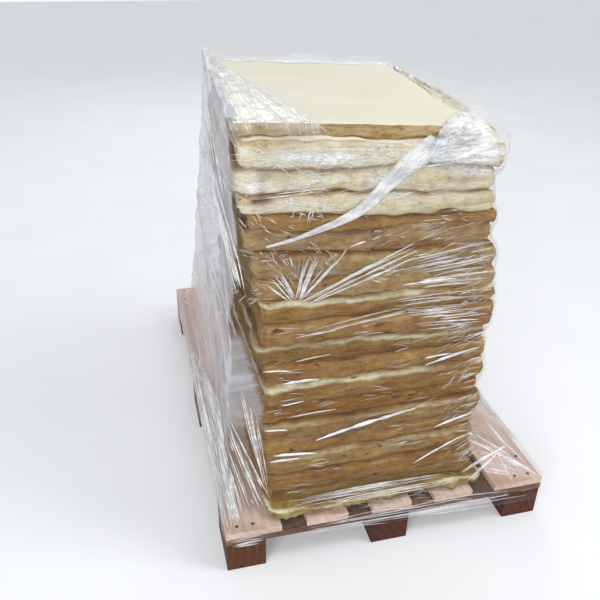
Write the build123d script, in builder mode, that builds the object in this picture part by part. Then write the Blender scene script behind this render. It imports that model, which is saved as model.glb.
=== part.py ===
from build123d import *
import os
from math import radians, sin, tan

# Loaded pallet: glass wool slabs stacked on a wooden block pallet, under stretch film.
# The origin is the middle of the pallet on the floor. X runs along the short near edge,
# Y along the deck boards and Z up. Sizes are in millimetres.

# Pallet
pallet_width = 800
pallet_length = 1200
deck_thickness = 18
deck_side_width = 130
deck_middle_width = 100
deck_board_count = 5
stringer_thickness = 19
block_width = 92
block_length = 140
block_height = 80
row_count = 3
sawn_edge = 1.5

# Slabs
slab_width = 508
slab_length = 605
slab_thickness = 48.5
pressed_thickness = 26
slab_count = 20
pressed_slabs = (0, 15, 19)
slab_gap = 0.6
slab_corner = 16
slab_edge = 6
slab_setback = 30
top_slab_cut = 42
load_spread = 14
foot_spread = 12
slab_jog = 5
jog_phase = 2.4
slab_twist = 0.7
twist_phase = 1.7

# How the stack leans, tilts and turns, each as a share of its height and the value there
hip = 0.6
shoulder = 0.82
lean_path = ((0, -32), (0.12, -52), (hip, -54), (shoulder, -80), (1, -76))
tilt_path = ((0, 0), (0.36, 1.2), (0.72, -2.2), (1, -2.6))
turn_path = ((0, 0), (hip, 0), (shoulder, -1.5), (1, -4.5))

# Stretch film
film_wall = 2
film_gap = 0.5
film_slack = 3
film_corner_share = 0.75
hem_rise = 1
skirt_height = 168
tuck_x = 45
tuck_y = 85
tuck_rise = 14
crown_fold = 30
bare_from = 0.34
bare_to = 0.77
gather_share = 0.2

deck_top = block_height + stringer_thickness + deck_thickness


def along(path, share):
    """Value at a share of the height, in straight runs between the path's points."""
    for (start, low), (end, high) in zip(path, path[1:]):
        if share <= end:
            return low + (high - low) * (share - start) / (end - start)
    return path[-1][1]


def spread(count, overall, width):
    """Centres of like pieces that share an overall size, the outer ones flush with it."""
    reach = overall - width
    return [reach * (i / (count - 1) - 0.5) for i in range(count)]


def finish(piece, name):
    piece.part.label = name
    export_step(piece.part, f"parts/{name}.step")


os.makedirs("parts", exist_ok=True)

# Blocks, three rows of three with the row's stringer board across them
for row, y in enumerate(spread(row_count, pallet_length, block_length), 1):
    for column, x in enumerate(spread(row_count, pallet_width, block_width), 1):
        with BuildPart() as block:
            with BuildSketch():
                with Locations((x, y)):
                    Rectangle(block_width, block_length)
            extrude(amount=block_height)
            chamfer(block.edges().filter_by(Axis.Z), sawn_edge)
        finish(block, f"block_{row}_{column}")

# Stringer boards, across the pallet under the deck
for row, y in enumerate(spread(row_count, pallet_length, block_length), 1):
    with BuildPart() as stringer_board:
        with BuildSketch(Plane.XY.offset(block_height)):
            with Locations((0, y)):
                Rectangle(pallet_width, block_length)
        extrude(amount=stringer_thickness)
        chamfer(stringer_board.edges().filter_by(Axis.X), sawn_edge)
    finish(stringer_board, f"stringer_board_{row}")

# Deck boards, the two side boards wider and the gaps between all of them equal
deck_widths = [deck_side_width] + [deck_middle_width] * (deck_board_count - 2) + [deck_side_width]
deck_gap = (pallet_width - sum(deck_widths)) / (deck_board_count - 1)
board_left = -pallet_width / 2
for number, width in enumerate(deck_widths, 1):
    with BuildPart() as deck_board:
        with BuildSketch(Plane.XY.offset(deck_top - deck_thickness)):
            with Locations((board_left + width / 2, 0)):
                Rectangle(width, pallet_length)
        extrude(amount=deck_thickness)
        chamfer(deck_board.edges().filter_by(Axis.Y), sawn_edge)
    finish(deck_board, f"deck_board_{number}")
    board_left += width + deck_gap

# Slabs, each a soft-edged board between the sloping bed under it and the one over it
slab_heights = [pressed_thickness if i in pressed_slabs else slab_thickness for i in range(slab_count)]
bed_levels = [sum(slab_heights[:i]) for i in range(slab_count + 1)]
stack_height = bed_levels[-1]
stack_y = (slab_length - pallet_length) / 2 + slab_setback


def stack_x(level):
    return along(lean_path, level / stack_height)


def width_at(level):
    """Width of the slabs at a height, which the load above spreads a little."""
    return slab_width + load_spread * (1 - level / stack_height)


def bed_height(level, x):
    """Height of a bed at a place across the pallet."""
    slope = radians(along(tilt_path, level / stack_height))
    return deck_top + level + (x - stack_x(level)) * tan(slope)


def turned(turn, x, y):
    """Upright plane that faces the near side, turned about a vertical line."""
    x_dir = Vector(1, 0, 0).rotate(Axis.Z, turn)
    return Plane((x, y, 0), x_dir=x_dir, z_dir=x_dir.rotate(Axis.Z, -90))


for number, (low, high) in enumerate(zip(bed_levels, bed_levels[1:]), 1):
    middle = (low + high) / 2
    foot = foot_spread if number == 1 else 0
    jog = slab_jog * sin(jog_phase * number)
    centre = stack_x(middle) + jog
    turn = along(turn_path, middle / stack_height) + slab_twist * sin(twist_phase * number)
    left = -width_at(middle) / 2 - foot
    right = -left - (top_slab_cut if number == slab_count else 0)
    with BuildPart() as slab:
        with BuildSketch(turned(turn, centre, stack_y - jog)):
            with BuildLine():
                Polyline(
                    (left, bed_height(low, centre + left) + slab_gap),
                    (right, bed_height(low, centre + right) + slab_gap),
                    (right, bed_height(high, centre + right)),
                    (left, bed_height(high, centre + left)),
                    close=True,
                )
            make_face()
        extrude(amount=slab_length / 2 + foot, both=True)
        fillet(slab.edges().filter_by(Axis.Z), slab_corner)
        chamfer(slab.edges().filter_by(Axis.Z, reverse=True), slab_edge)
    finish(slab, f"slab_{number:02d}")

# Stretch film, a tent of thin wall from the pallet's edge to the top of the stack
rim_reach = film_gap + film_wall
rim_height = deck_top + rim_reach
hem_height = block_height + hem_rise
film_reach = slab_jog + slab_length / 2 * tan(radians(slab_twist)) + film_slack + film_wall
top_height = stack_height + film_slack + film_wall
corner_signs = ((-1, -1), (1, -1), (1, 1), (-1, 1))


def hugged(level, reach=film_reach):
    """Corners of the stack's outline at a height, grown by a reach and turned with the slabs."""
    turn = along(turn_path, level / stack_height)
    half_width = width_at(level) / 2 + reach
    half_length = slab_length / 2 + reach
    centre = Vector(stack_x(level), stack_y)
    corners = [
        centre + Vector(side * half_width, end * half_length).rotate(Axis.Z, turn)
        for side, end in corner_signs
    ]
    return [(corner.X, corner.Y) for corner in corners]


def between(low, high, share):
    return tuple(a + (b - a) * share for a, b in zip(low, high))


rim = [(x * (pallet_width / 2 + rim_reach), y * (pallet_length / 2 + rim_reach)) for x, y in corner_signs]
tucked = rim[:3] + [(rim[3][0] + tuck_x, rim[3][1] - tuck_y)]
waist = skirt_height / stack_height


def tent(share):
    """Corners under the shoulder: drawn straight on the left and far sides, snug on the others."""
    near_left, _, far_right, far_left = [
        between(low, high, share / shoulder) for low, high in zip(tucked, hugged(shoulder * stack_height))
    ]
    snug_left, snug_near, snug_far, _ = hugged(share * stack_height)
    return (near_left[0], snug_left[1]), snug_near, (snug_far[0], far_right[1]), far_left


# Each level of the film: its height at the middle line, its slope, its corners and how far they are cut
rim_cut = film_wall + film_gap
film_cut = film_corner_share * slab_corner
film_levels = [
    (hem_height, 0, rim, rim_cut),
    (rim_height, 0, rim, rim_cut),
    (rim_height + tuck_rise, 0, tucked, rim_cut),
]
for share in (waist, hip, shoulder):
    film_levels.append((deck_top + share * stack_height, 0, tent(share), film_cut))
film_levels.append((deck_top + top_height, along(tilt_path, 1), hugged(stack_height), film_cut))

# The film folds in over the top's edges and leaves the rest bare, down to the foot of the top slab
# on the near side. Its free edge runs straight from the far left corner to the near side, and a
# gathered corner of it covers the near right one.
near_left, near_right, _, _ = hugged(stack_height, 2 * film_reach)
fold_near_left, fold_near_right, fold_far_right, fold_far_left = hugged(stack_height, -crown_fold)
cut_share = top_slab_cut / slab_width
cut_near_right = between(fold_near_right, fold_near_left, cut_share)
cut_far_right = between(fold_far_right, fold_far_left, cut_share)
bare_top = [
    between(near_left, near_right, bare_from),
    between(near_left, near_right, bare_to),
    between(cut_near_right, cut_far_right, gather_share),
    cut_far_right,
    fold_far_left,
]
crown_top = deck_top + top_height + film_slack
bare_depth = film_slack + film_wall + film_slack + slab_heights[-1]

# The film's outer form less its inner one, where each level is drawn in and down by the wall
with BuildPart() as stretch_film:
    for inset, mode in ((0, Mode.ADD), (film_wall, Mode.SUBTRACT)):
        for height, slope, corners, cut in film_levels:
            drop = 0 if height == hem_height else inset
            points = [
                (x - inset * side, y - inset * end)
                for (x, y), (side, end) in zip(corners, corner_signs)
            ]
            with BuildSketch(Plane.XY.offset(height - drop).rotated((0, -slope, 0))) as outline:
                with BuildLine():
                    Polyline(*points, close=True)
                make_face()
                chamfer(outline.vertices(), cut - inset)
        loft(ruled=True, mode=mode)
    with BuildSketch(Plane.XY.offset(crown_top).rotated((0, -along(tilt_path, 1), 0))):
        with BuildLine():
            Polyline(*bare_top, close=True)
        make_face()
    extrude(amount=-bare_depth, mode=Mode.SUBTRACT)
finish(stretch_film, "stretch_film")
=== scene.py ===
from collections import namedtuple
from math import cos, pi, radians, sin, sqrt

import bpy
import numpy as np
from mathutils import Matrix, Vector
from mathutils.bvhtree import BVHTree


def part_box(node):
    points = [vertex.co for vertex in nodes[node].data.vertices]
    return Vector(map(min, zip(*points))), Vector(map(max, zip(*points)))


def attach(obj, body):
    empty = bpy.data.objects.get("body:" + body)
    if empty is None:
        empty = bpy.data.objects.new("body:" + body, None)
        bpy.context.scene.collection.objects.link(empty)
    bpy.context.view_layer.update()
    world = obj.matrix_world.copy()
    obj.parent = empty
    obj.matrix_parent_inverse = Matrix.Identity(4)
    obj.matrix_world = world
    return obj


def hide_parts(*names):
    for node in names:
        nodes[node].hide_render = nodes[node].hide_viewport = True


# Looks of a loaded pallet: glass wool slabs under stretch film, on a wooden block pallet.
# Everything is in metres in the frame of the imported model, and the body is "root".

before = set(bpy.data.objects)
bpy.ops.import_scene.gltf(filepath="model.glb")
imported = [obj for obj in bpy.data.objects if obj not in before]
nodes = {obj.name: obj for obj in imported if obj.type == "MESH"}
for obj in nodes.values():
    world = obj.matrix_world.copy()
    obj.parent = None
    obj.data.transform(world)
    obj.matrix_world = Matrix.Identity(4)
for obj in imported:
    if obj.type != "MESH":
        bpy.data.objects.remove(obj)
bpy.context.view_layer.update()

# Corners of a rectangle, from near left anticlockwise
CORNERS = ((-1, -1), (1, -1), (1, 1), (-1, 1))

# Camera, where the photograph was taken from
FRAME_PX = 600
FOCAL_PX = 680.8
SENSOR_MM = 36
CAMERA_AT = Vector((-0.523, -1.683, 1.332))
CAMERA_YAW, CAMERA_PITCH, CAMERA_ROLL = 0.258, 0.510, 0.018


def camera_axes():
    """The camera's right, up and backward directions."""
    forward = Vector((sin(CAMERA_YAW) * cos(CAMERA_PITCH), cos(CAMERA_YAW) * cos(CAMERA_PITCH),
                      -sin(CAMERA_PITCH)))
    right = Vector((cos(CAMERA_YAW), -sin(CAMERA_YAW), 0))
    up = right.cross(forward)
    c, s = cos(CAMERA_ROLL), sin(CAMERA_ROLL)
    return right * c + up * s, up * c - right * s, -forward


def pixel_ray(x, y):
    """Direction in which the camera sees a pixel of the photograph."""
    across, up, back = camera_axes()
    return (across * (x - FRAME_PX / 2) - up * (y - FRAME_PX / 2) - back * FOCAL_PX).normalized()


def new_object(name, data):
    thing = bpy.data.objects.new(name, data)
    bpy.context.scene.collection.objects.link(thing)
    return thing


def make_camera():
    data = bpy.data.cameras.new("camera")
    data.sensor_width = SENSOR_MM
    data.lens = SENSOR_MM * FOCAL_PX / FRAME_PX
    camera = new_object("camera", data)
    camera.matrix_world = Matrix.Translation(CAMERA_AT) @ Matrix(camera_axes()).transposed().to_4x4()
    bpy.context.scene.camera = camera


# Meshes

def noise(points, size, seed, waves=14):
    """Smooth lumps of about a size, as a sum of waves in seeded directions."""
    rng = np.random.default_rng(seed)
    ways = rng.normal(size=(waves, 3))
    ways *= (rng.uniform(0.55, 1.5, waves) / np.linalg.norm(ways, axis=1))[:, None]
    phases = rng.uniform(0, 2 * pi, waves)
    turns = (np.asarray(points) / size) @ ways.T
    return np.sin(2 * pi * turns + phases).sum(-1) / sqrt(2 * waves)


def step(value, low, high):
    """Smooth rise from 0 at low to 1 at high."""
    t = np.clip((value - low) / (high - low), 0, 1)
    return t * t * (3 - 2 * t)


def between(start, end, share):
    return start + (end - start) * share


def turned(points, turn):
    """Points turned about the Z axis."""
    c, s = cos(turn), sin(turn)
    x, y = points[..., 0], points[..., 1]
    return np.stack([x * c - y * s, x * s + y * c, points[..., 2]], -1)


def unit(ways):
    return ways / np.maximum(np.linalg.norm(ways, axis=-1, keepdims=True), 1e-9)


def grid_normals(points, closed):
    """Unit normals of a grid of points, which face out where columns run anticlockwise."""
    if closed:
        along = np.roll(points, -1, 1) - np.roll(points, 1, 1)
    else:
        along = np.gradient(points, axis=1)
    return unit(np.cross(along, np.gradient(points, axis=0)))


def grid_faces(rows, columns, closed):
    """Quads of a grid of points, row by row, closed round each row or open."""
    wide = columns if closed else columns - 1
    row, column = np.meshgrid(np.arange(rows - 1), np.arange(wide), indexing="ij")
    here = row * columns + column
    beside = row * columns + (column + 1) % columns
    return np.stack([here, beside, beside + columns, here + columns], -1).reshape(-1, 4)


def mesh_object(name, points, faces, material, **attributes):
    """A smooth mesh, with the values that its material reads at each point."""
    mesh = bpy.data.meshes.new(name)
    mesh.from_pydata(np.reshape(points, (-1, 3)).tolist(), [], [list(f) for f in faces])
    for key, values in attributes.items():
        layer = mesh.attributes.new(key, "FLOAT", "POINT")
        layer.data.foreach_set("value", np.asarray(values, np.float32).ravel())
    mesh.materials.append(material)
    mesh.shade_smooth()
    return new_object(name, mesh)


def grid_object(name, points, closed, material, **attributes):
    return mesh_object(name, points, grid_faces(*points.shape[:2], closed), material, **attributes)


# Materials

class Nodes:
    """Shader nodes of a material or a world. Most calls add some and give the last one's output."""

    def __init__(self, owner):
        owner.use_nodes = True
        self.tree = owner.node_tree
        self.tree.nodes.clear()

    def node(self, kind, inputs, **settings):
        """A node with its settings, and its inputs as values or as other nodes' outputs."""
        made = self.tree.nodes.new("ShaderNode" + kind)
        for key, value in settings.items():
            setattr(made, key, value)
        for key, value in inputs.items():
            socket = made.inputs[key]
            if isinstance(value, bpy.types.NodeSocket):
                self.tree.links.new(value, socket)
            else:
                socket.default_value = (*value, 1) if socket.type == "RGBA" else value
        return made

    def add(self, kind, inputs=(), out=0, **settings):
        return self.node(kind, dict(inputs), **settings).outputs[out]

    def placed(self, move, scale, turn=(0, 0, 0)):
        """Object coordinates, moved, scaled and turned."""
        return self.add("Mapping", {"Vector": self.add("TexCoord", out="Object"), "Location": move,
                                    "Rotation": turn, "Scale": scale})

    def noise(self, scale, seed, stretch=(1, 1, 1), detail=4, rough=0.55, turn=(0, 0, 0)):
        """Noise in object coordinates, stretched along the axes whose scale is small."""
        place = self.placed((seed * 3.1, seed * 1.7, seed * 2.3), stretch, turn)
        return self.add("TexNoise", {"Vector": place, "Scale": scale, "Detail": detail, "Roughness": rough})

    def attribute(self, name):
        return self.add("Attribute", out="Fac", attribute_name=name, attribute_type="GEOMETRY")

    def ramp(self, value, *stops):
        """Colour ramp with its stops as (place, colour)."""
        made = self.node("ValToRGB", {"Fac": value})
        for i, (place, colour) in enumerate(stops):
            stop = made.color_ramp.elements[i] if i < 2 else made.color_ramp.elements.new(place)
            stop.position, stop.color = place, (*colour, 1)
        return made.outputs[0]

    def grey(self, value, *stops):
        """Ramp of greys with its stops as (place, level)."""
        return self.ramp(value, *[(place, (level,) * 3) for place, level in stops])

    def mix(self, share, a, b, blend="MIX"):
        return self.add("Mix", {0: share, 6: a, 7: b}, out=2, data_type="RGBA", blend_type=blend)

    def maths(self, operation, *values):
        return self.add("Math", enumerate(values), operation=operation)

    def scaled(self, value, low, high):
        """A value from 0 to 1 brought to another range."""
        return self.add("MapRange", {"Value": value, "To Min": low, "To Max": high})

    def bump(self, height, distance, strength=1.0, after=None):
        inputs = {"Height": height, "Distance": distance, "Strength": strength}
        return self.add("Bump", inputs if after is None else {**inputs, "Normal": after})

    def surface(self, shader, kind="OutputMaterial"):
        self.node(kind, {"Surface": shader})

    def seen_ray(self):
        """1 for the rays in which the background is seen: straight, mirrored or through."""
        straight, mirrored, through = (
            self.add("LightPath", out=f"Is {way} Ray") for way in ("Camera", "Glossy", "Transmission"))
        return self.maths("MAXIMUM", straight, self.maths("MAXIMUM", mirrored, through))


def new_material(name):
    material = bpy.data.materials.new(name)
    return material, Nodes(material)


WOOL_GOLD = ((0.32, (0.23, 0.086, 0.010)), (0.44, (0.35, 0.172, 0.022)), (0.55, (0.45, 0.258, 0.040)),
             (0.70, (0.62, 0.43, 0.12)))
WOOL_CREAM = ((0.33, (0.76, 0.63, 0.33)), (0.48, (0.92, 0.85, 0.58)), (0.64, (0.96, 0.94, 0.78)))
WOOL_FACING = ((0.3, (0.80, 0.76, 0.60)), (0.6, (0.83, 0.80, 0.67)))


def wool_material(name, seed, tint):
    """Glass wool: thin layers of fibre with tufts, pale yellowish on its faced side and golden on its edges.
    """
    material, n = new_material(name)
    layers = n.noise(7, seed, (1, 1, 6.5), detail=6, rough=0.6)
    strata = n.noise(17, seed + 4, (1, 1, 24), detail=5, rough=0.6)
    fine = n.noise(75, seed + 1, (1, 1, 2.2), detail=5, rough=0.7)
    fluff = n.noise(42, seed + 7, (1, 1, 1.6), detail=6, rough=0.75)
    blotches = n.noise(7, seed + 2, (1, 1, 1.6))
    cracks = n.noise(4.5, seed + 6, (1, 1, 14), detail=5, rough=0.62)
    hole_shade = n.noise(24, seed + 9, (1, 1, 2.4), detail=2)
    faced, cream, deep = (n.attribute(key) for key in ("faced", "cream", "deep"))
    golden = n.ramp(layers, *WOOL_GOLD)
    golden = n.mix(n.grey(blotches, (0.42, 0), (0.62, 0.55)), golden, (0.45, 0.25, 0.035))
    golden = n.mix(n.grey(strata, (0.34, 0.65), (0.46, 0)), golden, (0.25, 0.095, 0.016))
    golden = n.mix(n.grey(fine, (0.36, 0.45), (0.52, 0)), golden, (0.27, 0.105, 0.018))
    # Painted shade in thin cracks between the fibre layers
    crack_shade = n.maths("MULTIPLY", n.grey(cracks, (0.484, 0), (0.5, 0.9), (0.516, 0)),
                    n.grey(blotches, (0.46, 0), (0.56, 1)))
    golden = n.mix(1.0, n.mix(crack_shade, golden, (0.17, 0.065, 0.015)), tint, "MULTIPLY")
    # Pale wool: the sides' own tone, with painted light on the upper slabs and a painted highlight on the
    # lips
    pale = n.mix(n.grey(layers, (0.36, 0.45), (0.45, 0)), n.ramp(fluff, *WOOL_CREAM), (0.66, 0.42, 0.19))
    dim = n.maths("MULTIPLY", n.grey(fluff, (0.34, 0.55), (0.56, 0)),
                  n.maths("MULTIPLY_ADD", cream, -0.65, 1))
    colour = n.mix(dim, n.mix(cream, golden, pale), (0.52, 0.36, 0.17), "MULTIPLY")
    # Painted shade in small holes of the wool
    colour = n.mix(n.grey(hole_shade, (0.26, 0.9), (0.32, 0)), colour, (0.13, 0.050, 0.012))
    colour = n.mix(faced, colour, n.ramp(blotches, *WOOL_FACING))
    # Painted shade in the crevices and cavities: warm brown at their rims, nearly black in them
    colour = n.mix(n.grey(deep, (0.05, 0), (0.40, 0.85)), colour, (0.34, 0.150, 0.045))
    colour = n.mix(n.grey(deep, (0.35, 0), (0.95, 1)), colour, (0.075, 0.028, 0.008))
    relief = n.scaled(faced, 1.0, 0.12)
    normal = n.bump(strata, 0.002, 0.4, n.bump(layers, 0.010, relief))
    normal = n.bump(fine, 0.002, relief, n.bump(fluff, 0.006, relief, normal))
    n.surface(n.add("BsdfPrincipled", {"Base Color": colour, "Roughness": 0.95, "Normal": normal,
                                       "Specular IOR Level": 0.15}))
    return material


def wood_material(name, seed, pale, dark, ring_axis):
    """Sawn softwood with its grain along Y: growth rings on the ends, long lines on the sides."""
    material, n = new_material(name)
    rings = n.add("TexWave", {"Vector": n.placed((seed * 0.37, seed * 0.11, seed * 0.23), ring_axis),
                              "Scale": 17.0, "Distortion": 5.0, "Detail": 4.0, "Detail Scale": 0.8},
                  out="Fac", wave_type="RINGS", rings_direction="Y", wave_profile="SAW")
    grain = n.noise(55, seed, (1, 0.035, 1), detail=6, rough=0.6)
    pores = n.noise(330, seed + 3, (1, 0.03, 1), detail=3, rough=0.7)
    stains = n.noise(4.5, seed + 5, (1, 0.5, 1), detail=5, rough=0.6)
    colour = n.ramp(n.mix(0.72, rings, grain), (0.25, pale), (0.75, dark))
    colour = n.mix(n.grey(stains, (0.42, 0), (0.72, 0.45)), colour, dark, "MULTIPLY")
    colour = n.mix(n.grey(pores, (0.36, 0.5), (0.5, 0)), colour, dark)
    normal = n.bump(pores, 0.0008, 0.6, n.bump(grain, 0.0016, 0.7))
    n.surface(n.add("BsdfPrincipled", {"Base Color": colour, "Roughness": n.scaled(grain, 0.55, 0.8),
                                       "Normal": normal, "Specular IOR Level": 0.3}))
    return material


def steel_material():
    """Nail heads, dark with spots of rust."""
    material, n = new_material("nail_steel")
    spots = n.noise(400, 4, detail=3)
    colour = n.ramp(spots, (0.4, (0.045, 0.038, 0.035)), (0.65, (0.12, 0.06, 0.035)))
    n.surface(n.add("BsdfPrincipled", {"Base Color": colour, "Roughness": n.scaled(spots, 0.4, 0.75),
                                       "Metallic": 0.6, "Normal": n.bump(spots, 0.0006)}))
    return material


# Bluish grey on the calm film: painted shade of the left side and a painted reflection of the floor
FILM_SHADE_GREY = (0.60, 0.62, 0.68)


def film_material(name, veil, white, gloss=1.0, relief=1.0, crinkle=0.0):
    """Thin clear film: a share of milky haze that the mesh's "haze" sets, with gloss at a slant.

    It is smooth and painted a shaded grey where the mesh's "calm" is 1, and loses its gloss where "dull" is
    1.
    """
    material, n = new_material(name)
    wrinkles = n.noise(20, 11, (0.6, 0.6, 2.4), detail=6, rough=0.6)
    fine = n.noise(110, 12, (0.7, 0.7, 2.2), rough=0.7)
    threads = n.noise(230, 13, (0.35, 0.35, 1.6), detail=3, rough=0.6, turn=(0.3, 0.5, 0))
    haze, calm, dull = (n.attribute(key) for key in ("haze", "calm", "dull"))
    rough = n.maths("MULTIPLY_ADD", calm, -0.68, 0.8)
    line = n.maths("MULTIPLY", n.grey(wrinkles, (0.46, 0), (0.68, 1)), rough)
    crisp = n.maths("MULTIPLY", rough, n.maths("MULTIPLY_ADD", dull, -crinkle, crinkle))
    cover = n.maths("MULTIPLY_ADD", line, 0.75, 0.78 - 0.2 * crinkle)
    cover = n.maths("MULTIPLY_ADD", n.grey(threads, (0.46, 0), (0.60, 1)), crisp, cover)
    cover = n.maths("MULTIPLY", haze, n.maths("MULTIPLY_ADD", calm, 0.30 * crinkle, cover))
    cover = n.maths("MULTIPLY_ADD", n.grey(fine, (0.5, 0), (0.75, 1)), veil, cover)
    normal = n.bump(fine, 0.0015 * relief, 0.5, n.bump(wrinkles, 0.007 * relief, rough))
    tint = n.ramp(wrinkles, (0.35, (white - 0.13, white - 0.11, white - 0.08)), (0.6, (white,) * 3))
    body = n.add("BsdfPrincipled", {"Base Color": n.mix(calm, tint, FILM_SHADE_GREY), "Roughness": 0.3,
                                    "Normal": normal, "Specular IOR Level": 0.5 * gloss})
    through = n.add("BsdfTransparent", {"Color": (1, 1, 1)})
    milky = n.add("MixShader", {0: n.maths("MINIMUM", cover, 0.95), 1: through, 2: body})
    mirror = n.add("BsdfGlossy", {"Color": (1, 1, 1), "Roughness": 0.10, "Normal": normal})
    slant = n.maths("MULTIPLY", n.add("LayerWeight", {"Blend": 0.13, "Normal": normal}),
                    n.maths("MULTIPLY_ADD", dull, -gloss, gloss))
    n.surface(n.add("MixShader", {0: slant, 1: milky, 2: mirror}))
    return material


# Slabs: their soft edge, the round of their corners, their mesh's spacing and the insets of its inner rings

SLABS = 20
SLAB_EDGE = 0.013
SLAB_CORNER = 0.007
SLAB_SPACING = 0.0044
SIDE_RINGS = 19
SIDE_SQUARENESS = 3.4
BED_INSETS = (0.9, 0.5, 0.1)
CROWN_INSETS = (0.9, 0.74, 0.56, 0.38, 0.2, 0.06)
FOOT_INSETS = (0.1, 0.6)

# Bulges of a slab's sides: height, flatness, size, seed
BULGES = ((0.0040, 1, 0.24, 600), (0.0026, 1, 0.06, 700), (0.0022, 0.13, 0.07, 800),
          (0.0010, 0.25, 0.018, 900))

# How pale each slab's face is from the deck up: its own tone, and painted light on the upper slabs
FACES = (0.15, 0.05, 0.04, 0.10, 0.05, 0.06, 0.00, 0.04, 0.06, 0.02, 0.08, 0.05, 0.22, 0.20, 0.22, 0.08,
         1.00, 0.95, 1.00, 0.30)
# Painted highlight on each slab's rolled upper lip, where light from above falls
LIP_HIGHLIGHTS = (0.9, 0.2, 0.1, 0.4, 0.2, 0.4, 0.0, 0.95, 0.1, 0.9, 0.2, 1.0, 0.3, 0.25, 0.3, 0.1, 1.0, 0.9, 0.9, 0.2)
# How dark the painted shade is in the bed over each slab
BED_SHADES = (0.6, 0.4, 0.3, 0.5, 0.3, 0.3, 1.0, 0.4, 0.3, 0.5, 0.3, 0.6, 0.4, 0.3, 0.6, 1.0, 0.9, 0.9, 1.0, 0.0)

# Cavities in the near side, in the photograph's pixels: middle, and half width and height in metres
# They are pushed in, and darkened with painted shade.
CAVITY_DEPTH = 0.016
CAVITIES = (
    ((447, 211), 0.020, 0.006), ((278, 333), 0.012, 0.005), ((380, 326), 0.014, 0.004),
    ((424, 314), 0.012, 0.004), ((264, 203), 0.026, 0.009), ((378, 230), 0.016, 0.004),
    ((344, 412), 0.020, 0.004),
)

Slab = namedtuple("Slab", "turn middle half bottoms tops")


def measure(name):
    """A CAD slab's turn, its middle and half sizes in its own turned frame, and its beds' end heights."""
    points = np.array([v.co for v in nodes[name].data.vertices])
    turns = np.radians(np.arange(-8, 4, 0.1))
    turn = min(turns, key=lambda t: np.prod(np.ptp(turned(points, -t)[:, :2], axis=0)))
    own = turned(points, -turn)
    low, high = own.min(0), own.max(0)
    half = (high - low) / 2
    ends = [own[own[:, 0] < low[0] + 0.2 * half[0], 2], own[own[:, 0] > high[0] - 0.2 * half[0], 2]]
    return Slab(turn, (low + high) / 2, half, [end.min() for end in ends], [end.max() for end in ends])


def rounded_rectangle(half_x, half_y, corner, spacing):
    """Points round a rectangle with round corners, anticlockwise from near left, and their normals."""
    points, normals = [], []
    for side, (sx, sy) in enumerate(CORNERS):
        centre = np.array([sx * (half_x - corner), sy * (half_y - corner)])
        turns = pi + side * pi / 2 + np.linspace(0, pi / 2, max(3, round(corner * pi / 2 / spacing)))
        ways = np.stack([np.cos(turns), np.sin(turns)], -1)
        length = 2 * ((half_x if side % 2 == 0 else half_y) - corner)
        count = round(length / spacing)
        run = np.arange(1, count)[:, None] / count * length
        straight = centre + ways[-1] * corner + run * np.array([cos(side * pi / 2), sin(side * pi / 2)])
        points += [centre + ways * corner, straight]
        normals += [ways, np.repeat(ways[-1:], count - 1, 0)]
    return np.concatenate(points), np.concatenate(normals)


def bed_wave(bed, points):
    """How far a bed between two slabs strays from flat, the same for the slab under and over it."""
    if bed == 0:
        return np.zeros(points.shape[:-1])
    flat = points * (1, 1, 0)
    size = 0.25 if bed == SLABS else 1
    return size * (0.0065 * noise(flat, 0.30, 300 + bed) + 0.0030 * noise(flat, 0.06, 400 + bed))


def hollow_at(points, y):
    """How near each point is to a cavity of the upright near side at y: 1 at its middle, falling to 0."""
    share = np.zeros(points.shape[:-1])
    for pixel, wide, high in CAVITIES:
        ray = pixel_ray(*pixel)
        middle = CAMERA_AT + ray * ((y - CAMERA_AT.y) / ray.y)
        away = ((points[..., 0] - middle.x) / wide) ** 2 + ((points[..., 2] - middle.z) / high) ** 2
        share = np.maximum(share, np.exp(-away * 1.4) * (np.abs(points[..., 1] - y) < 0.05))
    return share


def slab_rings(top_insets):
    """Rings of a slab's mesh from its top down: share of the outline, reach past it, level from 1 to -1."""
    angles = np.linspace(pi / 2, -pi / 2, SIDE_RINGS)
    out = SLAB_EDGE * np.cos(angles) ** (2 / SIDE_SQUARENESS)
    rise = np.sign(angles) * np.abs(np.sin(angles)) ** (2 / SIDE_SQUARENESS)
    rise = 0.5 * rise + 0.5 * np.linspace(1, -1, SIDE_RINGS)
    rings = [(1 - inset, 0, 1) for inset in top_insets]
    rings += [(1, o, r) for o, r in zip(out, rise)]
    rings += [(1 - inset, 0, -1) for inset in FOOT_INSETS]
    return (np.array(values)[:, None] for values in zip(*rings))


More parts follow.
